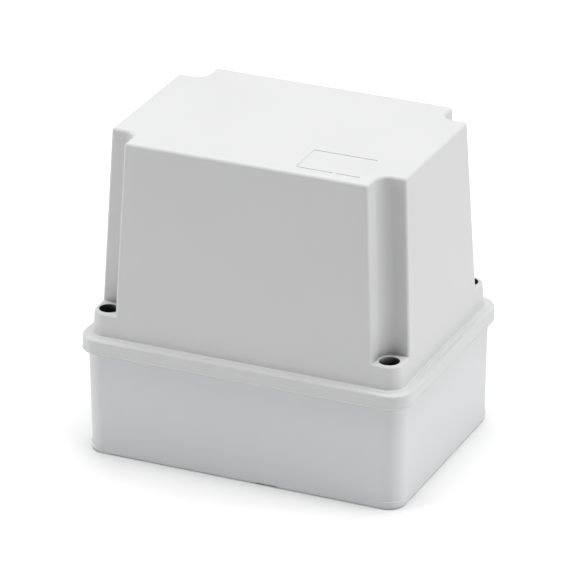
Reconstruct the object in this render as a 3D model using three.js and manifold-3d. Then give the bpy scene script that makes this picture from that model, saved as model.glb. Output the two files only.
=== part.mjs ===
// Deep-lid electrical junction box, 120 x 80 x 120 mm class, with its rail, terminals, seals and screws.
// Millimetres. X runs along the long side, Y from the front (-Y) to the back (+Y), Z up from the wall side.
// The origin is the centre of the base's underside.
import * as THREE from "three";
import { mergeVertices } from "three/addons/utils/BufferGeometryUtils.js";
import Module from "manifold-3d";

const wasm = await Module();
wasm.setup();

// ---------------------------------------------------------------- driving dimensions
const CLEARANCE = 0.3;
const ARC_STEPS = 6;
const ROUND_STEPS = 16;

const BASE = {
  halfX: 66.4,
  halfY: 47.15,
  growth: 0.0137,
  cornerRadius: 7.4,
  wall: 2.5,
  wallTop: 46.2,
  floorTop: 3.4,
  footRim: 2.6,
  footDepth: 1.0,
};
const RIM = { from: 43.3, inset: 0.35 };
const NOTCH = { fromX: 6.8, toX: 15.1, height: 0.8 };
const SCREW_AT = { x: 58.9, y: 39.8 };
const PILLAR = { radius: 5.5, top: 46.1, pilotRadius: 2.3, pilotBottom: 28 };

const SKIRT = { halfX: 69.4, halfY: 50.1, bottom: 43.65, ledge: 49.7, cornerRadius: 9.0, wall: 1.6 };
const FLANGE_Z = 46.5;
const PLATEAU = { margin: 1.3, height: 0.5 };
const LID = {
  halfX: 65.2,
  halfY: 46.1,
  slope: 0.0475,
  shelf: 59.85,
  top: 131.8,
  bossRadius: 5.8,
  wall: 2.4,
  roof: 2.5,
};
const SCALLOP = { depthX: 10.9, depthY: 11.7, radius: 5.2, wall: 2.3 };
const LABEL = { fromX: 18.6, toX: 45.0, fromY: -37.0, toY: -18.9, depth: 0.4 };
const SCREW_WELL = { radius: 4.0, seat: 49.2, throatRadius: 2.4 };

const GASKET = { outerX: 66.9, outerY: 47.6, width: 2.2, outerRadius: 6.5, height: 1.3 };
const LID_SCREW = { shankRadius: 2.0, tip: 38.0, headRadius: 3.5, headHeight: 2.6 };
const CROSS_RECESS = { width: 0.9, depth: 1.5, reach: 0.62 };
const SCREW_SEAL = { ringRadius: 3.0, cordRadius: 0.55 };
const INSERT = { radius: 2.8, boreRadius: 2.3, length: 9.4, top: 46.0 };

const FIXING = { x: 46, y: 30, holeRadius: 2.5, padRadius: 7, collarRadius: 6, collarTop: 7.4 };
const FIXING_WELL = { radius: 4.5, bottom: 4.8 };
const PLUG = { stemRadius: 4.2, stemBottom: 5.4, capRadius: 5.4, capHeight: 1.0 };

const RAIL = { length: 104, halfWidth: 17.5, webHalfWidth: 13.5, height: 7.5, gauge: 1.0, bottom: 9.3 };
const RAIL_SLOT = { halfLength: 5.25, halfWidth: 2.6 };
const RAIL_POST = { x: 44, radius: 5, top: 9.0, boreRadius: 2.0, boreBottom: 3.9 };
const RAIL_SCREW = { shankRadius: 1.7, tip: 4.6, headRadius: 3.6, headHeight: 2.2 };

const TERMINAL = { count: 5, width: 8.2, skin: 1.2, shoulder: 46, top: 52, halfLength: 21.5 };
const CLAMP = { y: 11, centreX: 0.4, travel: 3.0 };
const CAGE = { length: 6.4, width: 5.6, bottom: 26.2, height: 11.4, gauge: 1.5, sideGauge: 0.9 };
const BAR = { halfLength: 13.9, width: 3.0, bottom: 33.0, thickness: 1.2 };
const CLAMP_SCREW = { shankRadius: 1.5, headRadius: 2.4, headBottom: 44.0, headHeight: 2.0, slot: 0.8 };
const WIRE_ENTRY = { radius: 2.4, z: 29.9 };
const MARKER_GROOVE = { halfWidth: 5.5, depth: 3.5 };
const MARKER_THICKNESS = 1.5;
const END_PLATE = 1.5;
const END_STOP = 8.0;

// ---------------------------------------------------------------- materials
function material(name, color, roughness, metalness = 0) {
  return () => new THREE.MeshStandardMaterial({ name, color, roughness, metalness });
}
const lidPlastic = material("lid_plastic", 0xdcdedd, 0.5);
const basePlastic = material("base_plastic", 0xd9dbdf, 0.5);
const sealRubber = material("seal_rubber", 0x2b2c2e, 0.85);
const plugPlastic = material("plug_plastic", 0xc8cbcc, 0.45);
const stainless = material("stainless_steel", 0xb9bbbd, 0.3, 1);
const zincSteel = material("zinc_steel", 0xc6c9c8, 0.35, 1);
const brass = material("brass", 0xc9a24b, 0.35, 1);
const copper = material("tinned_copper", 0xbfb7ab, 0.35, 1);
const terminalGrey = material("terminal_grey", 0x8d9296, 0.55);
const terminalBlue = material("terminal_blue", 0x2f6fb0, 0.5);
const terminalEarth = material("terminal_earth", 0x7fae35, 0.5);
const markerWhite = material("marker_white", 0xe8e8e4, 0.5);

// ---------------------------------------------------------------- shapes and solids
function solid(geometry) {
  const bare = geometry.clone();
  bare.deleteAttribute("normal");
  bare.deleteAttribute("uv");
  const merged = mergeVertices(bare, 1e-4);
  const vertProperties = merged.attributes.position.array;
  const triVerts = new Uint32Array(merged.index.array);
  return new wasm.Manifold(new wasm.Mesh({ numProp: 3, vertProperties, triVerts }));
}

function geometryOf(body) {
  const mesh = body.getMesh();
  const geometry = new THREE.BufferGeometry();
  geometry.setAttribute("position", new THREE.BufferAttribute(new Float32Array(mesh.vertProperties), 3));
  geometry.setIndex(new THREE.BufferAttribute(new Uint32Array(mesh.triVerts), 1));
  const flat = geometry.toNonIndexed();
  flat.computeVertexNormals();
  return flat;
}

function cut(body, ...tools) {
  return tools.reduce((left, tool) => left.subtract(tool), body);
}

function join(body, ...others) {
  return others.reduce((sum, other) => sum.add(other), body);
}

function roundedRectangle(halfX, halfY, radius) {
  const shape = new THREE.Shape();
  const x = halfX - radius;
  const y = halfY - radius;
  shape.absarc(x, y, radius, 0, Math.PI / 2);
  shape.absarc(-x, y, radius, Math.PI / 2, Math.PI);
  shape.absarc(-x, -y, radius, Math.PI, 1.5 * Math.PI);
  shape.absarc(x, -y, radius, 1.5 * Math.PI, 2 * Math.PI);
  shape.closePath();
  return shape;
}

// A rectangle with each corner scooped out: two straight returns and a round inner corner.
function scallopedRectangle(halfX, halfY, depthX, depthY, radius) {
  const shape = new THREE.Shape();
  const x = halfX - depthX;
  const y = halfY - depthY;
  shape.moveTo(halfX, -y);
  shape.lineTo(halfX, y);
  shape.absarc(x + radius, y + radius, radius, 1.5 * Math.PI, Math.PI, true);
  shape.lineTo(x, halfY);
  shape.lineTo(-x, halfY);
  shape.absarc(-x - radius, y + radius, radius, 0, -Math.PI / 2, true);
  shape.lineTo(-halfX, y);
  shape.lineTo(-halfX, -y);
  shape.absarc(-x - radius, -y - radius, radius, Math.PI / 2, 0, true);
  shape.lineTo(-x, -halfY);
  shape.lineTo(x, -halfY);
  shape.absarc(x + radius, -y - radius, radius, Math.PI, Math.PI / 2, true);
  shape.closePath();
  return shape;
}

function extruded(shape, depth, curveSegments = ARC_STEPS) {
  return new THREE.ExtrudeGeometry(shape, { depth, bevelEnabled: false, curveSegments });
}

// An upright prism from z = bottom to z = top, whose sides lean outwards by growth per millimetre of height.
function block(shape, bottom, top, growth = 0, growthFrom = bottom) {
  const geometry = extruded(shape, top - bottom).translate(0, 0, bottom);
  const position = geometry.attributes.position;
  for (let i = 0; i < position.count; i += 1) {
    const lean = growth * (position.getZ(i) - growthFrom);
    position.setX(i, position.getX(i) + Math.sign(position.getX(i)) * lean);
    position.setY(i, position.getY(i) + Math.sign(position.getY(i)) * lean);
  }
  return solid(geometry);
}

function box(fromX, toX, fromY, toY, fromZ, toZ) {
  const geometry = new THREE.BoxGeometry(toX - fromX, toY - fromY, toZ - fromZ);
  geometry.translate((fromX + toX) / 2, (fromY + toY) / 2, (fromZ + toZ) / 2);
  return solid(geometry);
}

// An upright round bar centred on (x, y).
function rod(radius, x, y, bottom, top, steps = ROUND_STEPS) {
  const geometry = new THREE.CylinderGeometry(radius, radius, top - bottom, steps);
  geometry.rotateX(Math.PI / 2).translate(x, y, (bottom + top) / 2);
  return solid(geometry);
}

// A round bar along Y.
function rodAlongY(radius, x, fromY, toY, z, steps) {
  const geometry = new THREE.CylinderGeometry(radius, radius, toY - fromY, steps);
  return solid(geometry.translate(x, (fromY + toY) / 2, z));
}

// A turned piece about the vertical axis, from its profile of [radius, z] points.
function turned(profile, x, y, steps = ROUND_STEPS) {
  const points = profile.map(([radius, z]) => new THREE.Vector2(radius, z));
  const geometry = new THREE.LatheGeometry(points, steps);
  return solid(geometry.rotateX(Math.PI / 2).translate(x, y, 0));
}

// A plate drawn in the Y-Z plane by its [y, z] corners, from x = fromX to x = toX.
function profilePlate(corners, fromX, toX) {
  const outline = new THREE.Shape(corners.map(([y, z]) => new THREE.Vector2(y, z)));
  const geometry = extruded(outline, toX - fromX);
  geometry.rotateX(Math.PI / 2).rotateZ(Math.PI / 2).translate(fromX, 0, 0);
  return solid(geometry);
}

const group = new THREE.Group();
function place(name, body, finish) {
  const mesh = new THREE.Mesh(geometryOf(body), finish());
  mesh.name = name;
  group.add(mesh);
}

const CORNERS = [
  { name: "front_left", x: -1, y: -1 },
  { name: "front_right", x: 1, y: -1 },
  { name: "back_right", x: 1, y: 1 },
  { name: "back_left", x: -1, y: 1 },
];
const screwX = (corner) => corner.x * SCREW_AT.x;
const screwY = (corner) => corner.y * SCREW_AT.y;
const fixingX = (corner) => corner.x * FIXING.x;
const fixingY = (corner) => corner.y * FIXING.y;

// ---------------------------------------------------------------- base
function underside() {
  const inner = roundedRectangle(BASE.halfX - BASE.footRim, BASE.halfY - BASE.footRim, BASE.cornerRadius - 2);
  const recess = block(inner, -1, BASE.footDepth);
  const pads = CORNERS.map((c) => rod(FIXING.padRadius, fixingX(c), fixingY(c), -2, BASE.footDepth + 1));
  const rimEnd = BASE.halfY + 1;
  const rimStart = BASE.halfY - BASE.footRim - 1;
  const front = box(NOTCH.fromX, NOTCH.toX, -rimEnd, -rimStart, -1, NOTCH.height);
  const back = box(-NOTCH.toX, -NOTCH.fromX, rimStart, rimEnd, -1, NOTCH.height);
  return join(cut(recess, ...pads), front, back);
}

function base() {
  const outerShape = roundedRectangle(BASE.halfX, BASE.halfY, BASE.cornerRadius);
  const innerShape = roundedRectangle(
    BASE.halfX - BASE.wall,
    BASE.halfY - BASE.wall,
    BASE.cornerRadius - BASE.wall,
  );
  const rimShape = roundedRectangle(
    BASE.halfX - RIM.inset,
    BASE.halfY - RIM.inset,
    BASE.cornerRadius - RIM.inset,
  );
  const wall = block(outerShape, 0, RIM.from, BASE.growth);
  const rim = block(rimShape, RIM.from - 1, BASE.wallTop, BASE.growth, 0);
  const cavity = block(innerShape, BASE.floorTop, BASE.wallTop + 1, BASE.growth, 0);
  const pillars = CORNERS.map((c) => rod(PILLAR.radius, screwX(c), screwY(c), BASE.floorTop - 1, PILLAR.top));
  const collars = CORNERS.map((c) =>
    rod(FIXING.collarRadius, fixingX(c), fixingY(c), BASE.floorTop - 1, FIXING.collarTop),
  );
  const posts = [-1, 1].map((side) =>
    rod(RAIL_POST.radius, side * RAIL_POST.x, 0, BASE.floorTop - 1, RAIL_POST.top),
  );
  const bores = [];
  for (const c of CORNERS) {
    const insertSeat = INSERT.top - INSERT.length - CLEARANCE;
    bores.push(rod(PILLAR.pilotRadius, screwX(c), screwY(c), PILLAR.pilotBottom, PILLAR.top + 1));
    bores.push(rod(INSERT.radius + CLEARANCE, screwX(c), screwY(c), insertSeat, PILLAR.top + 1));
    bores.push(rod(FIXING.holeRadius, fixingX(c), fixingY(c), -1, FIXING.collarTop));
    bores.push(rod(FIXING_WELL.radius, fixingX(c), fixingY(c), FIXING_WELL.bottom, FIXING.collarTop + 1));
  }
  for (const side of [-1, 1]) {
    bores.push(rod(RAIL_POST.boreRadius, side * RAIL_POST.x, 0, RAIL_POST.boreBottom, RAIL_POST.top + 1));
  }
  const tub = join(cut(join(wall, rim), cavity), ...pillars, ...collars, ...posts);
  return cut(tub, underside(), ...bores);
}

// ---------------------------------------------------------------- lid
function lidOutside() {
  const skirt = roundedRectangle(SKIRT.halfX, SKIRT.halfY, SKIRT.cornerRadius);
  const plateau = roundedRectangle(
    LID.halfX + PLATEAU.margin,
    LID.halfY + PLATEAU.margin,
    LID.bossRadius + PLATEAU.margin,
  );
  const foot = roundedRectangle(LID.halfX, LID.halfY, LID.bossRadius);
  const tower = scallopedRectangle(LID.halfX, LID.halfY, SCALLOP.depthX, SCALLOP.depthY, SCALLOP.radius);
  return join(
    block(skirt, SKIRT.bottom, SKIRT.ledge),
    block(plateau, SKIRT.ledge - 1, SKIRT.ledge + PLATEAU.height),
    block(foot, SKIRT.ledge - 1, LID.shelf, -LID.slope, SKIRT.ledge),
    block(tower, LID.shelf - 1, LID.top, -LID.slope, SKIRT.ledge),
  );
}

function lidInside() {
  const skirt = roundedRectangle(
    SKIRT.halfX - SKIRT.wall,
    SKIRT.halfY - SKIRT.wall,
    SKIRT.cornerRadius - 1,
  );
  const tower = scallopedRectangle(
    LID.halfX - LID.wall,
    LID.halfY - LID.wall,
    SCALLOP.depthX + SCALLOP.wall - LID.wall,
    SCALLOP.depthY + SCALLOP.wall - LID.wall,
    SCALLOP.radius + SCALLOP.wall,
  );
  return join(
    block(skirt, SKIRT.bottom - 1, FLANGE_Z),
    block(tower, FLANGE_Z - 1, LID.top - LID.roof, -LID.slope, SKIRT.ledge),
  );
}

function ring(outerX, outerY, outerRadius, width, bottom, top) {
  const outer = block(roundedRectangle(outerX, outerY, outerRadius), bottom, top);
  const inner = roundedRectangle(outerX - width, outerY - width, outerRadius - width);
  return cut(outer, block(inner, bottom - 1, top + 1));
}

function gasketGroove() {
  return ring(
    GASKET.outerX + CLEARANCE,
    GASKET.outerY + CLEARANCE,
    GASKET.outerRadius + CLEARANCE,
    GASKET.width + 2 * CLEARANCE,
    FLANGE_Z - 1,
    FLANGE_Z + GASKET.height + CLEARANCE,
  );
}

function lid() {
  const wells = CORNERS.map((c) =>
    rod(SCREW_WELL.radius, screwX(c), screwY(c), SCREW_WELL.seat, LID.shelf + 1),
  );
  const throats = CORNERS.map((c) =>
    rod(SCREW_WELL.throatRadius, screwX(c), screwY(c), FLANGE_Z - 1, SCREW_WELL.seat + 1),
  );
  const label = box(LABEL.fromX, LABEL.toX, LABEL.fromY, LABEL.toY, LID.top - LABEL.depth, LID.top + 1);
  return cut(lidOutside(), lidInside(), gasketGroove(), label, ...wells, ...throats);
}

function gasket() {
  return ring(
    GASKET.outerX,
    GASKET.outerY,
    GASKET.outerRadius,
    GASKET.width,
    FLANGE_Z,
    FLANGE_Z + GASKET.height,
  );
}

// ---------------------------------------------------------------- lid screws, their seals and inserts
function screwSeal(corner) {
  const geometry = new THREE.TorusGeometry(SCREW_SEAL.ringRadius, SCREW_SEAL.cordRadius, 6, 20);
  const z = SCREW_WELL.seat + CLEARANCE + SCREW_SEAL.cordRadius;
  return solid(geometry.translate(screwX(corner), screwY(corner), z));
}

// A round-headed screw with a cross recess, its head's underside at z = seat.
function crossScrew({ shankRadius, tip, headRadius, headHeight }, x, y, seat) {
  const top = seat + headHeight;
  const profile = [
    [0, tip],
    [shankRadius * 0.6, tip],
    [shankRadius, tip + shankRadius * 0.6],
    [shankRadius, seat],
    [headRadius, seat],
    [headRadius, seat + headHeight * 0.55],
    [headRadius * 0.75, top],
    [0, top],
  ];
  const reach = headRadius * CROSS_RECESS.reach;
  const half = CROSS_RECESS.width / 2;
  const bottom = top - CROSS_RECESS.depth;
  const bar = box(x - reach, x + reach, y - half, y + half, bottom, top + 1);
  const crossBar = box(x - half, x + half, y - reach, y + reach, bottom, top + 1);
  return cut(turned(profile, x, y, 16), bar, crossBar);
}

function lidScrew(corner) {
  const seat = SCREW_WELL.seat + 2 * CLEARANCE + 2 * SCREW_SEAL.cordRadius;
  return crossScrew(LID_SCREW, screwX(corner), screwY(corner), seat);
}

function threadedInsert(corner) {
  const bottom = INSERT.top - INSERT.length;
  const profile = [
    [INSERT.boreRadius, bottom],
    [INSERT.radius, bottom],
    [INSERT.radius, INSERT.top],
    [INSERT.boreRadius, INSERT.top],
    [INSERT.boreRadius, bottom],
  ];
  return turned(profile, screwX(corner), screwY(corner), 16);
}

function fixingPlug(corner) {
  const capBottom = FIXING.collarTop + CLEARANCE;
  const profile = [
    [0, PLUG.stemBottom],
    [PLUG.stemRadius, PLUG.stemBottom],
    [PLUG.stemRadius, capBottom],
    [PLUG.capRadius, capBottom],
    [PLUG.capRadius, capBottom + PLUG.capHeight],
    [0, capBottom + PLUG.capHeight],
  ];
  return turned(profile, fixingX(corner), fixingY(corner), 20);
}

// ---------------------------------------------------------------- rail
function rail() {
  const { halfWidth, webHalfWidth, height, gauge, bottom, length } = RAIL;
  const top = bottom + height;
  const corners = [
    [-halfWidth, top],
    [-halfWidth, top - gauge],
    [-webHalfWidth, top - gauge],
    [-webHalfWidth, bottom],
    [webHalfWidth, bottom],
    [webHalfWidth, top - gauge],
    [halfWidth, top - gauge],
    [halfWidth, top],
    [webHalfWidth - gauge, top],
    [webHalfWidth - gauge, bottom + gauge],
    [gauge - webHalfWidth, bottom + gauge],
    [gauge - webHalfWidth, top],
  ];
  const strip = profilePlate(corners, -length / 2, length / 2);
  const slot = roundedRectangle(RAIL_SLOT.halfLength, RAIL_SLOT.halfWidth, RAIL_SLOT.halfWidth - 0.01);
  const slots = [-1, 1].map((side) =>
    solid(extruded(slot, gauge + 2).translate(side * RAIL_POST.x, 0, bottom - 1)),
  );
  return cut(strip, ...slots);
}

function railScrew(side) {
  const seat = RAIL.bottom + RAIL.gauge + CLEARANCE;
  return crossScrew(RAIL_SCREW, side * RAIL_POST.x, 0, seat);
}

// ---------------------------------------------------------------- terminals
// The outline of a terminal in Y-Z: two feet that hook the rail's flanges, two shoulders and a marker groove.
function terminalOutline() {
  const flangeTop = RAIL.bottom + RAIL.height;
  const legInside = RAIL.halfWidth + CLEARANCE;
  const toeTop = flangeTop - RAIL.gauge - CLEARANCE;
  const half = [
    [legInside, flangeTop + CLEARANCE],
    [legInside, toeTop],
    [legInside - 1.6, toeTop],
    [legInside - 1.6, toeTop - 1.6],
    [legInside + 2.4, toeTop - 1.6],
    [legInside + 2.4, 23.5],
    [TERMINAL.halfLength, 24.8],
    [TERMINAL.halfLength, 38],
    [17.5, TERMINAL.shoulder],
    [17.5, TERMINAL.top],
    [MARKER_GROOVE.halfWidth, TERMINAL.top],
    [MARKER_GROOVE.halfWidth, TERMINAL.top - MARKER_GROOVE.depth],
  ];
  const mirrored = half.map(([y, z]) => [-y, z]).reverse();
  return [...half, ...mirrored];
}

const terminalPitch = TERMINAL.width + CLEARANCE;
const terminalX = (index) => (index - (TERMINAL.count - 1) / 2) * terminalPitch;

// One terminal's moulding, open on its right side, with its clamp chambers, wire entries and screw shafts.
function terminalHousing(index) {
  const left = terminalX(index) - TERMINAL.width / 2;
  const right = left + TERMINAL.width;
  const x = terminalX(index) + CLAMP.centreX;
  const body = profilePlate(terminalOutline(), left, right);
  const pocketLeft = left + TERMINAL.skin;
  const chamberTop = CAGE.bottom + CAGE.height + CLAMP.travel + CLEARANCE;
  const headSeat = CLAMP_SCREW.headBottom - CLEARANCE;
  const tools = [
    box(
      pocketLeft,
      right + 1,
      -BAR.halfLength - CLEARANCE,
      BAR.halfLength + CLEARANCE,
      BAR.bottom - CLEARANCE,
      BAR.bottom + BAR.thickness + CLEARANCE,
    ),
  ];
  for (const side of [-1, 1]) {
    const y = side * CLAMP.y;
    const reach = CAGE.length / 2 + CLEARANCE;
    tools.push(box(pocketLeft, right + 1, y - reach, y + reach, CAGE.bottom - CLEARANCE, chamberTop));
    tools.push(rod(CLAMP_SCREW.headRadius + CLEARANCE, x, y, headSeat, TERMINAL.top + 1, 16));
    tools.push(rod(CLAMP_SCREW.shankRadius + CLEARANCE, x, y, chamberTop - 1, headSeat + 1, 12));
    const outside = side * (TERMINAL.halfLength + 1);
    tools.push(rodAlongY(WIRE_ENTRY.radius, x, Math.min(y, outside), Math.max(y, outside), WIRE_ENTRY.z, 12));
  }
  return cut(body, ...tools);
}

function currentBar(index) {
  const x = terminalX(index) + CLAMP.centreX;
  const { halfLength, width, bottom, thickness } = BAR;
  return box(x - width / 2, x + width / 2, -halfLength, halfLength, bottom, bottom + thickness);
}

// A square ring that the bar and the wire pass through, with the screw's hole in its top.
function clampCage(index, side) {
  const x = terminalX(index) + CLAMP.centreX;
  const y = side * CLAMP.y;
  const { bottom, gauge } = CAGE;
  const halfX = CAGE.width / 2;
  const halfY = CAGE.length / 2;
  const wallX = halfX - CAGE.sideGauge;
  const top = bottom + CAGE.height;
  const outer = box(x - halfX, x + halfX, y - halfY, y + halfY, bottom, top);
  const window = box(x - wallX, x + wallX, y - halfY - 1, y + halfY + 1, bottom + gauge, top - gauge);
  const hole = rod(CLAMP_SCREW.shankRadius + CLEARANCE, x, y, top - gauge - 1, top + 1, 12);
  return cut(outer, window, hole);
}

function clampScrew(index, side) {
  const x = terminalX(index) + CLAMP.centreX;
  const y = side * CLAMP.y;
  const { shankRadius, headRadius, headBottom, headHeight, slot } = CLAMP_SCREW;
  const tip = BAR.bottom + BAR.thickness + CLEARANCE;
  const top = headBottom + headHeight;
  const profile = [
    [0, tip],
    [shankRadius, tip],
    [shankRadius, headBottom],
    [headRadius, headBottom],
    [headRadius, top],
    [0, top],
  ];
  const groove = box(x - headRadius - 1, x + headRadius + 1, y - slot / 2, y + slot / 2, top - 1, top + 1);
  return cut(turned(profile, x, y, 12), groove);
}

// ---------------------------------------------------------------- end plate and end stops
const rowRight = terminalX(TERMINAL.count - 1) + TERMINAL.width / 2 + CLEARANCE;
const rowLeft = terminalX(0) - TERMINAL.width / 2 - CLEARANCE;

function endPlate() {
  return profilePlate(terminalOutline(), rowRight, rowRight + END_PLATE);
}

// The white strip pressed into the groove along the top of the row.
function markerStrip() {
  const halfY = MARKER_GROOVE.halfWidth - CLEARANCE;
  const bottom = TERMINAL.top - MARKER_GROOVE.depth + CLEARANCE;
  const fromX = rowLeft + CLEARANCE;
  const toX = rowRight + END_PLATE - CLEARANCE;
  return box(fromX, toX, -halfY, halfY, bottom, bottom + MARKER_THICKNESS);
}

function endStop(fromX) {
  const corners = terminalOutline().map(([y, z]) => [y, Math.min(z, 34)]);
  const outline = corners.filter(([y, z]) => z < 34);
  const feet = outline.slice(0, outline.length / 2);
  const half = [...feet, [15, 30], [12, 34]];
  const mirrored = half.map(([y, z]) => [-y, z]).reverse();
  return profilePlate([...half, ...mirrored], fromX, fromX + END_STOP);
}

// ---------------------------------------------------------------- the assembly
place("base", base(), basePlastic);
place("lid", lid(), lidPlastic);
place("lid_gasket", gasket(), sealRubber);
for (const corner of CORNERS) {
  place(`lid_screw_${corner.name}`, lidScrew(corner), stainless);
  place(`screw_seal_${corner.name}`, screwSeal(corner), sealRubber);
  place(`threaded_insert_${corner.name}`, threadedInsert(corner), brass);
  place(`fixing_plug_${corner.name}`, fixingPlug(corner), plugPlastic);
}
place("din_rail", rail(), zincSteel);
place("rail_screw_left", railScrew(-1), zincSteel);
place("rail_screw_right", railScrew(1), zincSteel);

const housingFinish = [terminalGrey, terminalGrey, terminalGrey, terminalBlue, terminalEarth];
for (let index = 0; index < TERMINAL.count; index += 1) {
  const label = index + 1;
  place(`terminal_housing_${label}`, terminalHousing(index), housingFinish[index]);
  place(`current_bar_${label}`, currentBar(index), copper);
  for (const [side, word] of [[-1, "front"], [1, "back"]]) {
    place(`clamp_cage_${label}_${word}`, clampCage(index, side), zincSteel);
    place(`clamp_screw_${label}_${word}`, clampScrew(index, side), zincSteel);
  }
}
place("terminal_end_plate", endPlate(), terminalGrey);
place("terminal_marker_strip", markerStrip(), markerWhite);
place("end_stop_left", endStop(rowLeft - END_STOP), terminalGrey);
place("end_stop_right", endStop(rowRight + END_PLATE + CLEARANCE), terminalGrey);

export default group;
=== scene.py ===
"""Looks of the deep-lid electrical junction box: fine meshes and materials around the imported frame."""
import math

import bmesh
import bpy
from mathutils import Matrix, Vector


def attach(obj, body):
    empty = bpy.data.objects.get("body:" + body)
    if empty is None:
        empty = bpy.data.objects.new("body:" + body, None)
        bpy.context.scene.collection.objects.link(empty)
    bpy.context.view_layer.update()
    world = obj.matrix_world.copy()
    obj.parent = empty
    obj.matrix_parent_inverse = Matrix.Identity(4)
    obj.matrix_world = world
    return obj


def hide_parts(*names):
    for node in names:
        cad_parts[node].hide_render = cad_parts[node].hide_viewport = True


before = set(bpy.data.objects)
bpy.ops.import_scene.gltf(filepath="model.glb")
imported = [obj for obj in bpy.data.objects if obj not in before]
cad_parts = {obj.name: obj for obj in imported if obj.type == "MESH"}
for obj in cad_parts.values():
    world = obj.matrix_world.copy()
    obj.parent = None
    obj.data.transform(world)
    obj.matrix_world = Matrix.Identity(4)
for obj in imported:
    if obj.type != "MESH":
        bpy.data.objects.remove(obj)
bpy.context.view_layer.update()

MM = 0.001
QUARTER = math.pi / 2

# ------------------------------------------------------------------ dimensions, in millimetres
CORNERS = {"front_left": (-1, -1), "front_right": (1, -1), "back_right": (1, 1), "back_left": (-1, 1)}

# lid
SKIRT_HALF = (69.4, 50.1)
SKIRT_RADIUS = 9.0
SKIRT_WALL = 1.6
SKIRT_INSIDE_RADIUS = 8.0
SKIRT_BOTTOM = 43.65
SKIRT_EDGE = 0.75
SKIRT_LOW_EDGE = 0.45
SKIRT_LIP = 0.22
SKIRT_LIP_TOP = 44.45
SKIRT_LIP_SLOPE = 0.2
LEDGE = 49.7
STEP_MARGIN = 1.3
STEP_HEIGHT = 0.5
STEP_SPREAD = 0.75
FLANGE = 46.5
LID_HALF = (65.2, 46.1)
LID_SLOPE = 0.0475
LID_WALL = 2.4
LID_TOP = 131.8
LID_ROOF = 2.5
ROOF_FILLET = 1.5
INNER_ARRIS = 1.0
WALL_ROOT = 0.45
BOSS_MIDDLE = 55.0
SHELF = 59.85
BOSS_RADIUS = 5.8
SCALLOP = (10.9, 11.7)
SCALLOP_RADIUS = 5.2
SCALLOP_WALL = 2.3
ARRIS_RADIUS = 1.1
TOP_RADIUS = 1.5
LABEL_LOW = (18.6, -37.0)
LABEL_HIGH = (45.0, -18.9)
LABEL_DEPTH = 0.22
LABEL_RADIUS = 0.6
SCORE_INSET = 0.6
SCORE_END = 0.3
SCORE_BREAK = (33.6, 34.9)
SCORE_WIDTH = 0.3
SCORE_DEPTH = 0.2
WELL_RADIUS = 4.0
WELL_SEAT = 49.2
WELL_EDGE = 0.35
THROAT_RADIUS = 2.4
SCREW_AT = (58.9, 39.8)

# gasket
GASKET_HALF = (66.9, 47.6)
GASKET_RADIUS = 6.5
GASKET_WIDTH = 2.2
GASKET_HEIGHT = 1.3
BEAD = (-1.6, -1.35, -0.85, -0.6)
BEAD_HEIGHT = 0.14
GAP = 0.3

# base
BASE_HALF = (66.4, 47.15)
BASE_GROWTH = 0.0137
BASE_RADIUS = 7.4
BASE_WALL = 2.5
BASE_TOP = 46.2
BASE_FLOOR = 3.4
FLOOR_FILLET = 1.5
BASE_EDGE = 0.9
BASE_LIP = 0.4
RIM_FROM = 43.3
RIM_INSET = 0.35
FOOT_RIM = 2.6
FOOT_DEPTH = 1.0
NOTCH_X = (6.8, 15.1)
NOTCH_HEIGHT = 0.8
PILLAR_RADIUS = 5.5
PILLAR_TOP = 46.1
WEB_SHIFT = 0.9
WEB_INSET = 0.3
WEB_DROP = 0.2
PILOT_RADIUS = 2.3
PILOT_BOTTOM = 28.0
FIXING_AT = (46.0, 30.0)
FIXING_HOLE = 2.5
PAD_RADIUS = 7.0
COLLAR_RADIUS = 6.0
COLLAR_TOP = 7.4
COLLAR_WELL = 4.5
COLLAR_WELL_BOTTOM = 4.8
POST_X = 44.0
POST_RADIUS = 5.0
POST_TOP = 9.0
POST_BORE = 2.0
POST_BORE_BOTTOM = 3.9

# lid screws, their seals and inserts
SHANK = 2.0
SCREW_TIP = 38.0
SCREW_HEAD = 3.5
SCREW_HEAD_HEIGHT = 2.6
SCREW_PITCH = 0.7
SEAL_RING = 3.0
SEAL_CORD = 0.55
INSERT_RADIUS = 2.8
INSERT_BORE = 2.3
INSERT_TOP = 46.0
INSERT_LENGTH = 9.4
RECESS_WIDTH = 0.9
RECESS_DEPTH = 1.5
RECESS_REACH = 0.62

# fixing plugs
PLUG_STEM = 4.2
PLUG_BOTTOM = 5.4
PLUG_CAP = 5.4
PLUG_CAP_HEIGHT = 1.0

# rail and its screws
RAIL_LENGTH = 104.0
RAIL_HALF = 17.5
RAIL_WEB = 13.5
RAIL_HEIGHT = 7.5
RAIL_GAUGE = 1.0
RAIL_BOTTOM = 9.3
RAIL_SLOT = (5.25, 2.6)
RAIL_SHANK = 1.7
RAIL_SCREW_TIP = 4.6
RAIL_SCREW_HEAD = 3.6
RAIL_SCREW_HEAD_HEIGHT = 2.2

# terminals
TERMINALS = 5
TERMINAL_WIDTH = 8.2
TERMINAL_SKIN = 1.2
TERMINAL_FLANK = 38.0
TERMINAL_SHOULDER = 46.0
SHOULDER_HALF = 17.5
TERMINAL_TOP = 52.0
TERMINAL_HALF = 21.5
GROOVE_HALF = 5.5
GROOVE_DEPTH = 3.5
CLAMP_Y = 11.0
CLAMP_X = 0.4
CLAMP_TRAVEL = 3.0
CAGE_LENGTH = 6.4
CAGE_WIDTH = 5.6
CAGE_BOTTOM = 26.2
CAGE_HEIGHT = 11.4
CAGE_GAUGE = 1.5
CAGE_SIDE = 0.9
BAR_HALF = 13.9
BAR_WIDTH = 3.0
BAR_BOTTOM = 33.0
BAR_THICKNESS = 1.2
CLAMP_SHANK = 1.5
CLAMP_HEAD = 2.4
CLAMP_HEAD_BOTTOM = 44.0
CLAMP_HEAD_HEIGHT = 2.0
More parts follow.
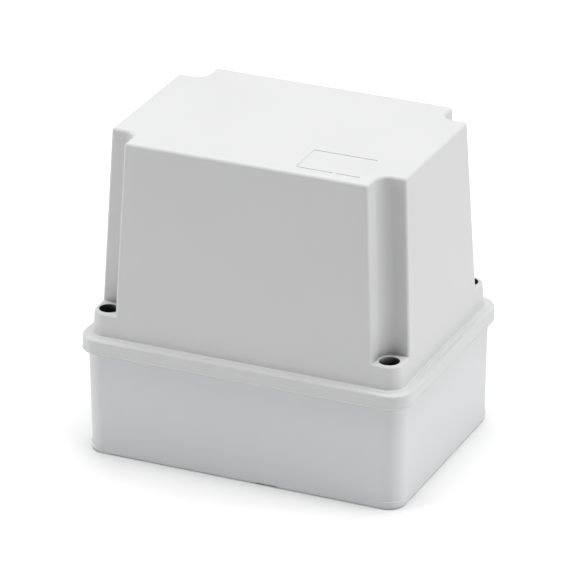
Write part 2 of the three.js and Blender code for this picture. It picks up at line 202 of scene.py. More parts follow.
CLAMP_SLOT = 0.8
CLAMP_PITCH = 0.5
ENTRY_RADIUS = 2.4
ENTRY_Z = 29.9
MARKER_THICKNESS = 1.5
END_PLATE = 1.5
END_STOP = 8.0
STOP_TOP = 34.0
PITCH = TERMINAL_WIDTH + GAP
ROW_RIGHT = (TERMINALS - 1) / 2 * PITCH + TERMINAL_WIDTH / 2 + GAP

# points along one quarter of a plan outline
WALL_STEPS = 4
ARRIS_STEPS = 6
RETURN_STEPS = 2
ARC_STEPS = 14
EDGE_STEPS = 6


# ------------------------------------------------------------------ mesh helpers
def make_object(name, vertices, faces):
    """A new object from vertices in millimetres."""
    mesh = bpy.data.meshes.new(name)
    mesh.from_pydata([tuple(MM * c for c in v) for v in vertices], [], faces)
    mesh.validate()
    obj = bpy.data.objects.new(name, mesh)
    bpy.context.scene.collection.objects.link(obj)
    return obj


def clean(obj, merge=1e-6):
    """Welds what coincides and points every face outwards."""
    work = bmesh.new()
    work.from_mesh(obj.data)
    bmesh.ops.remove_doubles(work, verts=work.verts, dist=merge)
    bmesh.ops.dissolve_degenerate(work, dist=merge, edges=work.edges)
    bmesh.ops.recalc_face_normals(work, faces=work.faces)
    work.to_mesh(obj.data)
    work.free()
    return obj


def shade(obj, angle=35):
    """Smooth shading that stays crisp at real edges and keeps big faces flat."""
    work = bmesh.new()
    work.from_mesh(obj.data)
    for face in work.faces:
        face.smooth = True
    for edge in work.edges:
        edge.smooth = len(edge.link_faces) == 2 and edge.calc_face_angle(0) < math.radians(angle)
    work.to_mesh(obj.data)
    work.free()
    weighted = obj.modifiers.new("weighted", "WEIGHTED_NORMAL")
    weighted.keep_sharp = True
    weighted.weight = 100
    return obj


def apply_modifiers(obj):
    graph = bpy.context.evaluated_depsgraph_get()
    graph.update()
    mesh = bpy.data.meshes.new_from_object(obj.evaluated_get(graph))
    obj.modifiers.clear()
    obj.data = mesh
    return obj


def join(objects):
    """All of these objects as the first one."""
    first = objects[0]
    work = bmesh.new()
    for obj in objects:
        work.from_mesh(obj.data)
    work.to_mesh(first.data)
    work.free()
    for obj in objects[1:]:
        bpy.data.objects.remove(obj)
    return first


def combine(target, tool, operation):
    """target with the closed tool joined on or cut out, and the tool removed."""
    modifier = target.modifiers.new("boolean", "BOOLEAN")
    modifier.operation = operation
    modifier.solver = "EXACT"
    modifier.object = tool
    apply_modifiers(target)
    bpy.data.objects.remove(tool)
    return target


def stack(name, rings, closed=False):
    """A skin over rings of equally many points, capped at both ends or joined end to end."""
    count = len(rings[0])
    storeys = len(rings)
    vertices = [point for ring in rings for point in ring]
    faces = []
    for storey in range(storeys if closed else storeys - 1):
        here = storey * count
        above = (storey + 1) % storeys * count
        for i in range(count):
            j = (i + 1) % count
            faces.append((here + i, here + j, above + j, above + i))
    if not closed:
        faces.append(tuple(range(count))[::-1])
        faces.append(tuple((storeys - 1) * count + i for i in range(count)))
    return clean(make_object(name, vertices, faces))


def turned(name, profile, centre=(0, 0), steps=48, wobble=None, closed=False):
    """A piece turned about a vertical axis. profile has (radius, z) points from one end of the axis to
    the other or, where closed, right round a section, so that the piece keeps its bore.
    wobble(angle, radius, z) may change the radius, for a thread or a knurl."""
    rings = []
    for radius, z in profile:
        ring = []
        for i in range(steps):
            angle = 2 * math.pi * i / steps
            r = wobble(angle, radius, z) if wobble else radius
            ring.append((centre[0] + r * math.cos(angle), centre[1] + r * math.sin(angle), z))
        rings.append(ring)
    return stack(name, rings, closed)


def arc(centre, radius, start, end, steps=EDGE_STEPS):
    """Points (u, v) on an arc, angles in quarter turns."""
    points = []
    for i in range(steps + 1):
        angle = (start + (end - start) * i / steps) * QUARTER
        points.append((centre[0] + radius * math.cos(angle), centre[1] + radius * math.sin(angle)))
    return points


def filleted(points, radius, steps=4):
    """A closed outline with each corner rounded, by less where its sides are short."""
    rounded = []
    for i, corner in enumerate(points):
        here = Vector(corner)
        before = Vector(points[i - 1]) - here
        after = Vector(points[(i + 1) % len(points)]) - here
        reach = min(radius, 0.42 * before.length, 0.42 * after.length)
        first = here + before.normalized() * reach
        last = here + after.normalized() * reach
        for k in range(steps + 1):
            t = k / steps
            rounded.append(tuple((1 - t) ** 2 * first + 2 * t * (1 - t) * here + t * t * last))
    return rounded


def prism(name, outline, start, end, axis="x"):
    """An outline drawn in the two other axes, pulled along x or y from start to end."""
    if axis == "x":
        rings = [[(at, u, v) for u, v in outline] for at in (start, end)]
    else:
        rings = [[(u, at, v) for u, v in outline] for at in (start, end)]
    return stack(name, rings)


def block(low, high):
    """A plain cutting block."""
    (x0, y0, z0), (x1, y1, z1) = low, high
    ring = ((x0, y0), (x1, y0), (x1, y1), (x0, y1))
    return stack("block", [[(x, y, z) for x, y in ring] for z in (z0, z1)])


def lay_along_y(obj):
    """Turns an upright piece so that its +Z points along +Y."""
    for vertex in obj.data.vertices:
        x, y, z = vertex.co
        vertex.co = (x, z, -y)
    return obj


def moved(obj, x=0.0, y=0.0, z=0.0):
    for vertex in obj.data.vertices:
        vertex.co += Vector((MM * x, MM * y, MM * z))
    return obj


def copied(obj, name, x=0.0, y=0.0):
    """A separate piece with the same mesh, its place kept in the mesh."""
    twin = bpy.data.objects.new(name, obj.data.copy())
    bpy.context.scene.collection.objects.link(twin)
    return moved(twin, x, y)


def carve(target, tools):
    for tool in tools:
        combine(target, tool, "DIFFERENCE")
    return target


def bevelled(obj, width, segments=2, angle=30):
    modifier = obj.modifiers.new("bevel", "BEVEL")
    modifier.width = MM * width
    modifier.segments = segments
    modifier.limit_method = "ANGLE"
    modifier.angle_limit = math.radians(angle)
    modifier.use_clamp_overlap = True
    return apply_modifiers(obj)


def thread(pitch, depth, low, high):
    """A right-handed thread for turned(), fading out over one pitch at each end."""
    def wobble(angle, radius, z):
        if not low < z < high:
            return radius
        phase = (z / pitch - angle / (2 * math.pi)) % 1
        fade = min(1.0, (z - low) / pitch, (high - z) / pitch)
        return radius - depth * fade * abs(2 * phase - 1)
    return wobble


def levels(low, high, step):
    count = max(1, round((high - low) / step))
    return [low + (high - low) * i / count for i in range(count + 1)]


# ------------------------------------------------------------------ plan outlines
def between(start, end, steps):
    """Points from start up to, but without, end."""
    (x, y), (to_x, to_y) = start, end
    return [(x + (to_x - x) * i / steps, y + (to_y - y) * i / steps) for i in range(steps)]


def mirrored(quarter, z):
    """The whole ring at height z from the points of its +X +Y quarter."""
    ring = []
    for sx, sy, order in ((1, 1, 1), (-1, 1, -1), (-1, -1, 1), (1, -1, -1)):
        ring += [(sx * x, sy * y, z) for x, y in quarter[::order][:-1]]
    return ring


def plain_ring(half, radius, z, scallop_at=None, dent=0.0):
    """A rounded rectangle. Its points line up with a scalloped ring's. scallop_at is where the scallops
    start, and dent pulls in the corner, as far as those places, by that much."""
    x, y = half
    sx, sy = scallop_at or (x - SCALLOP[0], y - SCALLOP[1])
    quarter = between((x, 0), (x, sy - ARRIS_RADIUS), WALL_STEPS)
    quarter += [(x - dent * fade, sy - ARRIS_RADIUS * (1 - t)) for t, fade in quarter_fade()]
    quarter += between((x - dent, sy), (x - dent, y - radius), RETURN_STEPS)
    centre = (x - radius, y - radius)
    quarter += arc(centre, radius - dent, 0, 1, ARC_STEPS)[:-1]
    quarter += between((x - radius, y - dent), (sx, y - dent), RETURN_STEPS)
    quarter += [(sx - ARRIS_RADIUS * (1 - t), y - dent * fade) for t, fade in quarter_fade(True)]
    quarter += between((sx - ARRIS_RADIUS, y), (0, y), WALL_STEPS)
    quarter.append((0, y))
    return mirrored(quarter, z)


def offset_half(half, amount):
    return (half[0] + amount, half[1] + amount)


def grown_ring(half, radius, grow, z, scallop_at=None):
    """A plain ring pushed outwards by grow, or pulled in where grow is negative."""
    return plain_ring(offset_half(half, grow), radius + grow, z, scallop_at)


def quarter_fade(back=False):
    """How far along the arris strip a point is, and how far its outline has turned in: 0 to 1 on a circle."""
    steps = [i / ARRIS_STEPS for i in range(ARRIS_STEPS)]
    if back:
        steps = [1 - s for s in steps]
    return [(math.sin(s * QUARTER), 1 - math.cos(s * QUARTER)) for s in steps]


def scalloped_ring(half, depth, radius, arris, z, inset=0.0):
    """A rectangle with scooped corners and rounded arrises, pulled in by inset."""
    x, y = half[0] - inset, half[1] - inset
    sx, sy = half[0] - depth[0] - inset, half[1] - depth[1] - inset
    bend = radius + inset
    turn = max(arris - inset, 0.1)
    quarter = between((x, 0), (x, sy - turn), WALL_STEPS)
    quarter += arc((x - turn, sy - turn), turn, 0, 1, ARRIS_STEPS)[:-1]
    quarter += between((x - turn, sy), (sx + bend, sy), RETURN_STEPS)
    quarter += arc((sx + bend, sy + bend), bend, -1, -2, ARC_STEPS)[:-1]
    quarter += between((sx, sy + bend), (sx, y - turn), RETURN_STEPS)
    quarter += arc((sx - turn, y - turn), turn, 0, 1, ARRIS_STEPS)[:-1]
    quarter += between((sx - turn, y), (0, y), WALL_STEPS)
    quarter.append((0, y))
    return mirrored(quarter, z)


# ------------------------------------------------------------------ lid
def lid_half(z, wall=0.0):
    lean = LID_SLOPE * (z - LEDGE)
    return (LID_HALF[0] - wall - lean, LID_HALF[1] - wall - lean)


def lid_scallop_at(z):
    x, y = lid_half(z)
    return (x - SCALLOP[0], y - SCALLOP[1])


def lid_inside_rings():
    """From the roof's middle down the inside, over the flange and its groove to the skirt's lower edge."""
    depth = (SCALLOP[0] + SCALLOP_WALL - LID_WALL, SCALLOP[1] + SCALLOP_WALL - LID_WALL)
    radius = SCALLOP_RADIUS + SCALLOP_WALL
    roof = LID_TOP - LID_ROOF
    rings = []
    for inset, drop in arc((ROOF_FILLET, ROOF_FILLET), ROOF_FILLET, -1, -2):
        z = roof - drop
        rings.append(scalloped_ring(lid_half(z, LID_WALL), depth, radius, INNER_ARRIS, z, inset))
    for z in (100.0, 75.0, SHELF, FLANGE):
        rings.append(scalloped_ring(lid_half(z, LID_WALL), depth, radius, INNER_ARRIS, z))
    inner, outer = -GASKET_WIDTH - GAP, GAP
    groove_top = FLANGE + GASKET_HEIGHT + GAP
    for grow, z in ((inner, FLANGE), (inner, groove_top), (outer, groove_top), (outer, FLANGE)):
        rings.append(grown_ring(GASKET_HALF, GASKET_RADIUS, grow, z))
    skirt_inside = offset_half(SKIRT_HALF, -SKIRT_WALL)
    rings.append(plain_ring(skirt_inside, SKIRT_INSIDE_RADIUS, FLANGE))
    edge = SKIRT_LOW_EDGE
    for u, v in arc((0, 0), edge, 0, 1, 4):
        rings.append(grown_ring(skirt_inside, SKIRT_INSIDE_RADIUS, edge - u, SKIRT_BOTTOM + edge - v))
    return rings


def lid_outside_rings():
    """From the skirt's lower edge over the ledge and the step, up the walls and corner shelves to the top."""
    rings = []
    low = SKIRT_LOW_EDGE
    for u, v in arc((0, 0), low, 1, 0)[1:]:
        rings.append(grown_ring(SKIRT_HALF, SKIRT_RADIUS, u - low, SKIRT_BOTTOM + low - v))
    rings.append(plain_ring(SKIRT_HALF, SKIRT_RADIUS, SKIRT_LIP_TOP - SKIRT_LIP_SLOPE))
    rings.append(grown_ring(SKIRT_HALF, SKIRT_RADIUS, -SKIRT_LIP, SKIRT_LIP_TOP))
    for u, v in arc((0, 0), SKIRT_EDGE, 0, 1):
        inset = SKIRT_EDGE - u + SKIRT_LIP
        rings.append(grown_ring(SKIRT_HALF, SKIRT_RADIUS, -inset, LEDGE - SKIRT_EDGE + v))
    step_half = offset_half(LID_HALF, STEP_MARGIN)
    step_radius = BOSS_RADIUS + STEP_MARGIN
    half_step = STEP_HEIGHT / 2
    for u, v in arc((0, 0), 1, 3, 4, 4):
        out = STEP_SPREAD * (1 - u)
        rings.append(grown_ring(step_half, step_radius, out, LEDGE + half_step * (1 + v)))
    for u, v in arc((0, 0), 1, 0, 1, 4)[1:]:
        out = STEP_SPREAD * (u - 1)
        rings.append(grown_ring(step_half, step_radius, out, LEDGE + half_step * (1 + v)))
    foot = LEDGE + STEP_HEIGHT
    for u, v in arc((0, 0), WALL_ROOT, 3, 4, 4):
        z = foot + WALL_ROOT + v
        rings.append(grown_ring(lid_half(z), BOSS_RADIUS, WALL_ROOT - u, z, lid_scallop_at(z)))
    rings.append(plain_ring(lid_half(BOSS_MIDDLE), BOSS_RADIUS, BOSS_MIDDLE, lid_scallop_at(BOSS_MIDDLE)))
    for u, v in arc((0, 0), ARRIS_RADIUS, 0, 1):
        z = SHELF - ARRIS_RADIUS + v
        rings.append(plain_ring(lid_half(z), BOSS_RADIUS, z, lid_scallop_at(z), ARRIS_RADIUS - u))
    for z in (SHELF, SHELF + 5, 80.0, 100.0, 118.0):
        rings.append(scalloped_ring(lid_half(z), SCALLOP, SCALLOP_RADIUS, ARRIS_RADIUS, z))
    for u, v in arc((0, 0), TOP_RADIUS, 0, 1):
        z = LID_TOP - TOP_RADIUS + v
        inset = TOP_RADIUS - u
        rings.append(scalloped_ring(lid_half(z), SCALLOP, SCALLOP_RADIUS, ARRIS_RADIUS, z, inset))
    return rings


def well_tool(corner):
    """What a screw well takes out: a throat, a seat, the well and a softly rounded rim."""
    sx, sy = CORNERS[corner]
    profile = [(THROAT_RADIUS, FLANGE - 1), (THROAT_RADIUS, WELL_SEAT), (WELL_RADIUS, WELL_SEAT)]
    rim = arc((WELL_RADIUS + WELL_EDGE, SHELF - WELL_EDGE), WELL_EDGE, 2, 1, 4)
    profile += rim + [(WELL_RADIUS + WELL_EDGE, SHELF + 1)]
    return turned("well_tool", profile, (sx * SCREW_AT[0], sy * SCREW_AT[1]))


def label_tool():
    """The shallow label recess in the lid's top, with small corner radii."""
    centre = [(a + b) / 2 for a, b in zip(LABEL_LOW, LABEL_HIGH)]
    half = [(b - a) / 2 for a, b in zip(LABEL_LOW, LABEL_HIGH)]
    rings = []
    for z in (LID_TOP - LABEL_DEPTH, LID_TOP + 1):
        ring = []
        for k, (sx, sy) in enumerate(((1, 1), (-1, 1), (-1, -1), (1, -1))):
            mid = (centre[0] + sx * (half[0] - LABEL_RADIUS), centre[1] + sy * (half[1] - LABEL_RADIUS))
            ring += [(u, v, z) for u, v in arc(mid, LABEL_RADIUS, k, k + 1, 4)]
        rings.append(ring)
    return stack("label_tool", rings)


def label_scores():
    """The fine score along the front of the label recess, in two stretches."""
    front = LABEL_LOW[1] + SCORE_INSET
    bottom = LID_TOP - LABEL_DEPTH - SCORE_DEPTH
    left, right = LABEL_LOW[0] + SCORE_END, LABEL_HIGH[0] - SCORE_END
    stretches = ((left, SCORE_BREAK[0]), (SCORE_BREAK[1], right))
    return [block((start, front, bottom), (end, front + SCORE_WIDTH, LID_TOP)) for start, end in stretches]


def build_lid():
    lid = stack("lid_shell", lid_inside_rings() + lid_outside_rings())
    combine(lid, join([well_tool(corner) for corner in CORNERS] + [label_tool()]), "DIFFERENCE")
    carve(lid, label_scores())
    return shade(clean(lid))


# ------------------------------------------------------------------ base
def base_half(z, wall=0.0):
    lean = BASE_GROWTH * z
    return (BASE_HALF[0] - wall + lean, BASE_HALF[1] - wall + lean)


def base_rings():
    """From the floor's middle up the inside, over the rebated rim, down the outside and under the foot."""
    rings = []
    inner_radius = BASE_RADIUS - BASE_WALL
    for u, v in arc((0, 0), FLOOR_FILLET, 3, 4):
        z = BASE_FLOOR + FLOOR_FILLET + v
        rings.append(grown_ring(base_half(z, BASE_WALL), inner_radius, u - FLOOR_FILLET, z))
    for z in (15.0, 30.0):
        rings.append(plain_ring(base_half(z, BASE_WALL), inner_radius, z))
    for u, v in arc((0, 0), BASE_LIP, 2, 1, 3):
        z = BASE_TOP - BASE_LIP + v
        rings.append(grown_ring(base_half(z, BASE_WALL), inner_radius, BASE_LIP + u, z))
    for u, v in arc((0, 0), BASE_LIP, 1, 0, 3):
        z = BASE_TOP - BASE_LIP + v
        inset = RIM_INSET + BASE_LIP - u
        rings.append(grown_ring(base_half(z), BASE_RADIUS, -inset, z))
    rings.append(grown_ring(base_half(RIM_FROM), BASE_RADIUS, -RIM_INSET, RIM_FROM))
    for u, v in arc((0, 0), RIM_INSET, 1, 0, 3)[1:]:
        z = RIM_FROM - RIM_INSET + v
        rings.append(grown_ring(base_half(z), BASE_RADIUS, u - RIM_INSET, z))
    for z in (30.0, 15.0):
        rings.append(plain_ring(base_half(z), BASE_RADIUS, z))
    for u, v in arc((0, 0), BASE_EDGE, 4, 3):
        z = BASE_EDGE + v
        rings.append(grown_ring(base_half(z), BASE_RADIUS, u - BASE_EDGE, z))
    for z in (0.0, FOOT_DEPTH):
        rings.append(grown_ring(BASE_HALF, BASE_RADIUS, -FOOT_RIM, z))
    return rings


def boss(radius, top, centre, edge=0.35, flare=1.0, draft=0.012):
    """A post moulded on the floor: a flared root, a little draft and a soft top edge."""
    root = BASE_FLOOR
    wide = radius + draft * (top - root)
    profile = [(wide + flare, root - 1.2)]
    profile += [(wide + flare + u, root + flare + v) for u, v in arc((0, 0), flare, 3, 2, 4)]
    profile += [(radius - edge + u, top - edge + v) for u, v in arc((0, 0), edge, 0, 1, 3)]
    return turned("boss", profile, centre)


def bore(radius, bottom, top, centre, lead=0.3):
    """A round hole from bottom up through top, with a lead-in at its mouth."""
    profile = [(radius, bottom), (radius, top - lead), (radius + lead, top), (radius + lead, top + 1)]
    return turned("bore", profile, centre, 40)


def corner_places(at):
    return [(sx * at[0], sy * at[1]) for sx, sy in CORNERS.values()]


def build_base():
    """The shell, then what is moulded onto its floor, then every hole and the two foot notches."""
    base = stack("base_shell", base_rings())
    for x, y in corner_places(SCREW_AT):
        combine(base, boss(PILLAR_RADIUS, PILLAR_TOP, (x, y)), "UNION")
        web = (x + math.copysign(WEB_SHIFT, x), y + math.copysign(WEB_SHIFT, y))
        combine(base, boss(PILLAR_RADIUS - WEB_INSET, PILLAR_TOP - WEB_DROP, web), "UNION")
    for x, y in corner_places(FIXING_AT):
        combine(base, boss(COLLAR_RADIUS, COLLAR_TOP, (x, y)), "UNION")
        pad = [(PAD_RADIUS - 0.3, 0), (PAD_RADIUS, 0.3), (PAD_RADIUS, FOOT_DEPTH + 1)]
        combine(base, turned("pad", pad, (x, y)), "UNION")
    for side in (-1, 1):
        combine(base, boss(POST_RADIUS, POST_TOP, (side * POST_X, 0)), "UNION")
    for x, y in corner_places(SCREW_AT):
        carve(base, [bore(PILOT_RADIUS, PILOT_BOTTOM, INSERT_TOP, (x, y))])
        carve(base, [bore(INSERT_RADIUS + GAP, INSERT_TOP - INSERT_LENGTH - GAP, PILLAR_TOP, (x, y))])
    for x, y in corner_places(FIXING_AT):
        carve(base, [bore(COLLAR_WELL, COLLAR_WELL_BOTTOM, COLLAR_TOP, (x, y))])
        carve(base, [turned("hole", [(FIXING_HOLE, -1), (FIXING_HOLE, COLLAR_TOP)], (x, y), 40)])
    for side in (-1, 1):
        carve(base, [bore(POST_BORE, POST_BORE_BOTTOM, POST_TOP, (side * POST_X, 0))])
    near, far = BASE_HALF[1] - FOOT_RIM - 1, BASE_HALF[1] + 1
    carve(base, [
        block((NOTCH_X[0], -far, -1), (NOTCH_X[1], -near, NOTCH_HEIGHT)),
        block((-NOTCH_X[1], near, -1), (-NOTCH_X[0], far, NOTCH_HEIGHT)),
    ])
    return shade(clean(base))


# ------------------------------------------------------------------ seals, screws, inserts and plugs
def build_gasket():
    """The lid's seal: a rounded strip with a bead along its underside."""
    top = FLANGE + GASKET_HEIGHT
    section = [(0, FLANGE), (0, top), (-GASKET_WIDTH, top), (-GASKET_WIDTH, FLANGE), (BEAD[0], FLANGE)]
    section += [(BEAD[1], FLANGE - BEAD_HEIGHT), (BEAD[2], FLANGE - BEAD_HEIGHT), (BEAD[3], FLANGE)]
    rings = [grown_ring(GASKET_HALF, GASKET_RADIUS, u, z) for u, z in filleted(section, 0.4, 3)]
    return shade(stack("lid_gasket_strip", rings, closed=True))


def cross_tool(centre, reach, width, top):
    """A tapered cross recess."""
    rings = []
    for z, r, w in ((top - RECESS_DEPTH, 0.45 * reach, 0.7 * width), (top + 0.6, 1.12 * reach, 1.12 * width)):
        half = w / 2
        plus = [(r, -half), (r, half), (half, half), (half, r), (-half, r), (-half, half)]
        plus += [(-u, -v) for u, v in plus]
        rings.append([(centre[0] + u, centre[1] + v, z) for u, v in plus])
    return stack("cross_tool", rings)


def headed_screw(name, shank, tip, seat, head, height, pitch, smooth=1.6):
    """A threaded screw on the axis x = y = 0, with a domed head whose underside is at seat."""
    threaded = levels(tip + 0.5 * shank, seat - smooth, pitch / 6)
    profile = [(0.25 * shank, tip), (0.7 * shank, tip + 0.1 * shank)]
    profile += [(shank, z) for z in threaded]
    profile += [(shank, seat), (head - 0.15, seat), (head, seat + 0.15)]
    profile += [(head * u, seat + height * (0.5 + 0.5 * v)) for u, v in arc((0, 0), 1, 0, 0.9, 8)]
    return turned(name, profile, steps=36, wobble=thread(pitch, 0.16 * shank, threaded[0], threaded[-1]))


def lid_screw_mesh():
    seat = WELL_SEAT + 2 * GAP + 2 * SEAL_CORD
    piece = headed_screw("lid_screw", SHANK, SCREW_TIP, seat, SCREW_HEAD, SCREW_HEAD_HEIGHT, SCREW_PITCH)
    top = seat + SCREW_HEAD_HEIGHT
    return carve(piece, [cross_tool((0, 0), RECESS_REACH * SCREW_HEAD, RECESS_WIDTH, top)])


def rail_screw_mesh():
    seat = RAIL_BOTTOM + RAIL_GAUGE + GAP
    piece = headed_screw(
        "rail_screw", RAIL_SHANK, RAIL_SCREW_TIP, seat, RAIL_SCREW_HEAD, RAIL_SCREW_HEAD_HEIGHT, 0.9, 0.6
    )
    top = seat + RAIL_SCREW_HEAD_HEIGHT
    return carve(piece, [cross_tool((0, 0), RECESS_REACH * RAIL_SCREW_HEAD, RECESS_WIDTH, top)])


def seal_mesh():
    z = WELL_SEAT + GAP + SEAL_CORD
    section = [(SEAL_RING + u, z + v) for u, v in arc((0, 0), SEAL_CORD, 0, 4, 16)[:-1]]
    return turned("screw_seal", section, closed=True)


def insert_mesh():
    """A brass insert: two knurled bands outside, a thread inside."""
    low, high = INSERT_TOP - INSERT_LENGTH, INSERT_TOP
    inside = [(INSERT_BORE, z) for z in levels(low + 0.3, high - 0.3, SCREW_PITCH / 6)]
    middle = (low + high) / 2
    outside = [(INSERT_RADIUS - 0.2, high), (INSERT_RADIUS, high - 0.25), (INSERT_RADIUS, middle + 1.0)]
    outside += [(INSERT_RADIUS - 0.3, middle + 0.8), (INSERT_RADIUS - 0.3, middle - 0.8)]
    outside += [(INSERT_RADIUS, middle - 1.0), (INSERT_RADIUS, low + 0.25), (INSERT_RADIUS - 0.2, low)]
    section = inside + [(INSERT_BORE + 0.15, high)] + outside + [(INSERT_BORE + 0.15, low)]
    cut = thread(SCREW_PITCH, -0.14, low + 0.3, high - 0.3)

    def wobble(angle, radius, z):
        if radius == INSERT_BORE:
            return 2 * INSERT_BORE - cut(angle, INSERT_BORE, z)
        if radius == INSERT_RADIUS:
            return radius + 0.09 * math.cos(24 * angle)
        return radius

    return turned("threaded_insert", section, steps=96, wobble=wobble, closed=True)


def plug_mesh():
    """A cap on a hollow stem with two gripping ribs and a slot to prise it out."""
    under = COLLAR_TOP + GAP
    top = under + PLUG_CAP_HEIGHT
    hollow = PLUG_STEM - 1.0
    profile = [(0.6, under - 0.1), (hollow, under - 0.1)]
    profile += [(hollow, PLUG_BOTTOM), (PLUG_STEM - 0.3, PLUG_BOTTOM)]
    for z in (PLUG_BOTTOM + 0.5, PLUG_BOTTOM + 1.4):
        profile += [(PLUG_STEM - 0.15, z - 0.3), (PLUG_STEM, z), (PLUG_STEM - 0.15, z + 0.3)]
    profile += [(PLUG_STEM - 0.15, under), (PLUG_CAP - 0.2, under), (PLUG_CAP, under + 0.2)]
    profile += [(PLUG_CAP - 0.5 + 0.5 * u, top - 0.6 + 0.5 * v) for u, v in arc((0, 0), 1, 0, 1, 5)]
    profile += [(PLUG_CAP - 2.0, top - 0.03), (1.0, top)]
    piece = turned("fixing_plug", profile, steps=64)
    return carve(piece, [block((PLUG_CAP - 1.1, -1.2, under - 1), (PLUG_CAP + 1, 1.2, under + 0.45))])


# ------------------------------------------------------------------ rail
def build_rail():
    """A top-hat rail bent from strip, with a fixing slot over each post."""
    top = RAIL_BOTTOM + RAIL_HEIGHT
    under = top - RAIL_GAUGE
    half = [(RAIL_WEB, RAIL_BOTTOM), (RAIL_WEB, under), (RAIL_HALF, under), (RAIL_HALF, top)]
    inner = [(RAIL_WEB - RAIL_GAUGE, top), (RAIL_WEB - RAIL_GAUGE, RAIL_BOTTOM + RAIL_GAUGE)]
    outline = half + inner + [(-u, v) for u, v in inner[::-1]] + [(-u, v) for u, v in half[::-1]]
    rail = prism("din_rail_strip", filleted(outline, 0.9, 5), -RAIL_LENGTH / 2, RAIL_LENGTH / 2)
    half_x, half_y = RAIL_SLOT
    for side in (-1, 1):
        ring = []
        for turn, sign in ((3, 1), (1, -1)):
            mid = (side * POST_X + sign * (half_x - half_y), 0)
            ring += arc(mid, half_y, turn, turn + 2, 12)
        slot = [[(x, y, z) for x, y in ring] for z in (RAIL_BOTTOM - 1, RAIL_BOTTOM + RAIL_GAUGE + 1)]
        combine(rail, stack("slot", slot), "DIFFERENCE")
    return shade(bevelled(clean(rail), 0.12, 2, 50))


# ------------------------------------------------------------------ terminals
def terminal_outline():
    """A terminal from its end: feet that hook the rail's flanges, two shoulders and a marker groove."""
    flange_top = RAIL_BOTTOM + RAIL_HEIGHT
    leg = RAIL_HALF + GAP
    toe = flange_top - RAIL_GAUGE - GAP
    hook = 1.6
    half = [
        (leg, flange_top + GAP),
        (leg, toe),
        (leg - hook, toe),
        (leg - hook, toe - hook),
        (leg + 2.4, toe - hook),
        (leg + 2.4, 23.5),
        (TERMINAL_HALF, 24.8),
        (TERMINAL_HALF, TERMINAL_FLANK),
        (SHOULDER_HALF, TERMINAL_SHOULDER),
        (SHOULDER_HALF, TERMINAL_TOP),
        (GROOVE_HALF, TERMINAL_TOP),
        (GROOVE_HALF, TERMINAL_TOP - GROOVE_DEPTH),
    ]
    return half + [(-y, z) for y, z in half[::-1]]


def terminal_slice(name, start, end):
    """The terminal's outline pulled along the row, with softened edges."""
    return bevelled(prism(name, filleted(terminal_outline(), 0.45, 3), start, end), 0.22, 2, 60)


def driver_shaft(x, y, bottom, top):
    """The shaft over a clamp screw, with a wide lead-in for the driver."""
    wide = CLAMP_HEAD + GAP
    profile = [(wide, bottom), (wide, top - 1.0), (wide + 0.55, top), (wide + 0.55, top + 1)]
    return turned("shaft", profile, (x, y))


def wire_funnel(x, side):
    """A wire entry that narrows inwards from the housing's face."""
    wide, mouth = ENTRY_RADIUS + 0.75, TERMINAL_HALF - CLAMP_Y
    profile = [(ENTRY_RADIUS, 0), (ENTRY_RADIUS, mouth - 2.0), (wide, mouth), (wide, mouth + 1)]
    piece = lay_along_y(turned("entry", profile))
    if side < 0:
        for vertex in piece.data.vertices:
            vertex.co.y = -vertex.co.y
        clean(piece)
    return moved(piece, x, side * CLAMP_Y, ENTRY_Z)


def housing_mesh():
    """One terminal's moulding about x = 0, open on its right side."""
    left, right = -TERMINAL_WIDTH / 2, TERMINAL_WIDTH / 2
    pocket = left + TERMINAL_SKIN
    body = terminal_slice("terminal_housing", left, right)
    chamber_top = CAGE_BOTTOM + CAGE_HEIGHT + CLAMP_TRAVEL + GAP
    seat = CLAMP_HEAD_BOTTOM - GAP
    reach = CAGE_LENGTH / 2 + GAP
    bar = BAR_HALF + GAP
    carve(body, [block((pocket, -bar, BAR_BOTTOM - GAP), (right + 1, bar, BAR_BOTTOM + BAR_THICKNESS + GAP))])
    neck = [(CLAMP_SHANK + GAP, chamber_top - 1), (CLAMP_SHANK + GAP, seat + 1)]
    for side in (-1, 1):
        y = side * CLAMP_Y
        carve(body, [
            block((pocket, y - reach, CAGE_BOTTOM - GAP), (right + 1, y + reach, chamber_top)),
            driver_shaft(CLAMP_X, y, seat, TERMINAL_TOP),
            turned("neck", neck, (CLAMP_X, y), 32),
            wire_funnel(CLAMP_X, side),
        ])
    return clean(body)


def bar_mesh():
    """The conducting bar, with three pressed grooves above each wire."""
    top = BAR_BOTTOM + BAR_THICKNESS
    lower = []
    for y in (-CLAMP_Y, CLAMP_Y):
        for k in (-1, 0, 1):
            at = y + 1.2 * k
            lower += [(at - 0.3, BAR_BOTTOM), (at, BAR_BOTTOM + 0.25), (at + 0.3, BAR_BOTTOM)]
    outline = [(-BAR_HALF, top), (-BAR_HALF, BAR_BOTTOM)] + lower + [(BAR_HALF, BAR_BOTTOM), (BAR_HALF, top)]
    bar = prism("current_bar", outline, CLAMP_X - BAR_WIDTH / 2, CLAMP_X + BAR_WIDTH / 2)
    return bevelled(bar, 0.12, 2, 50)


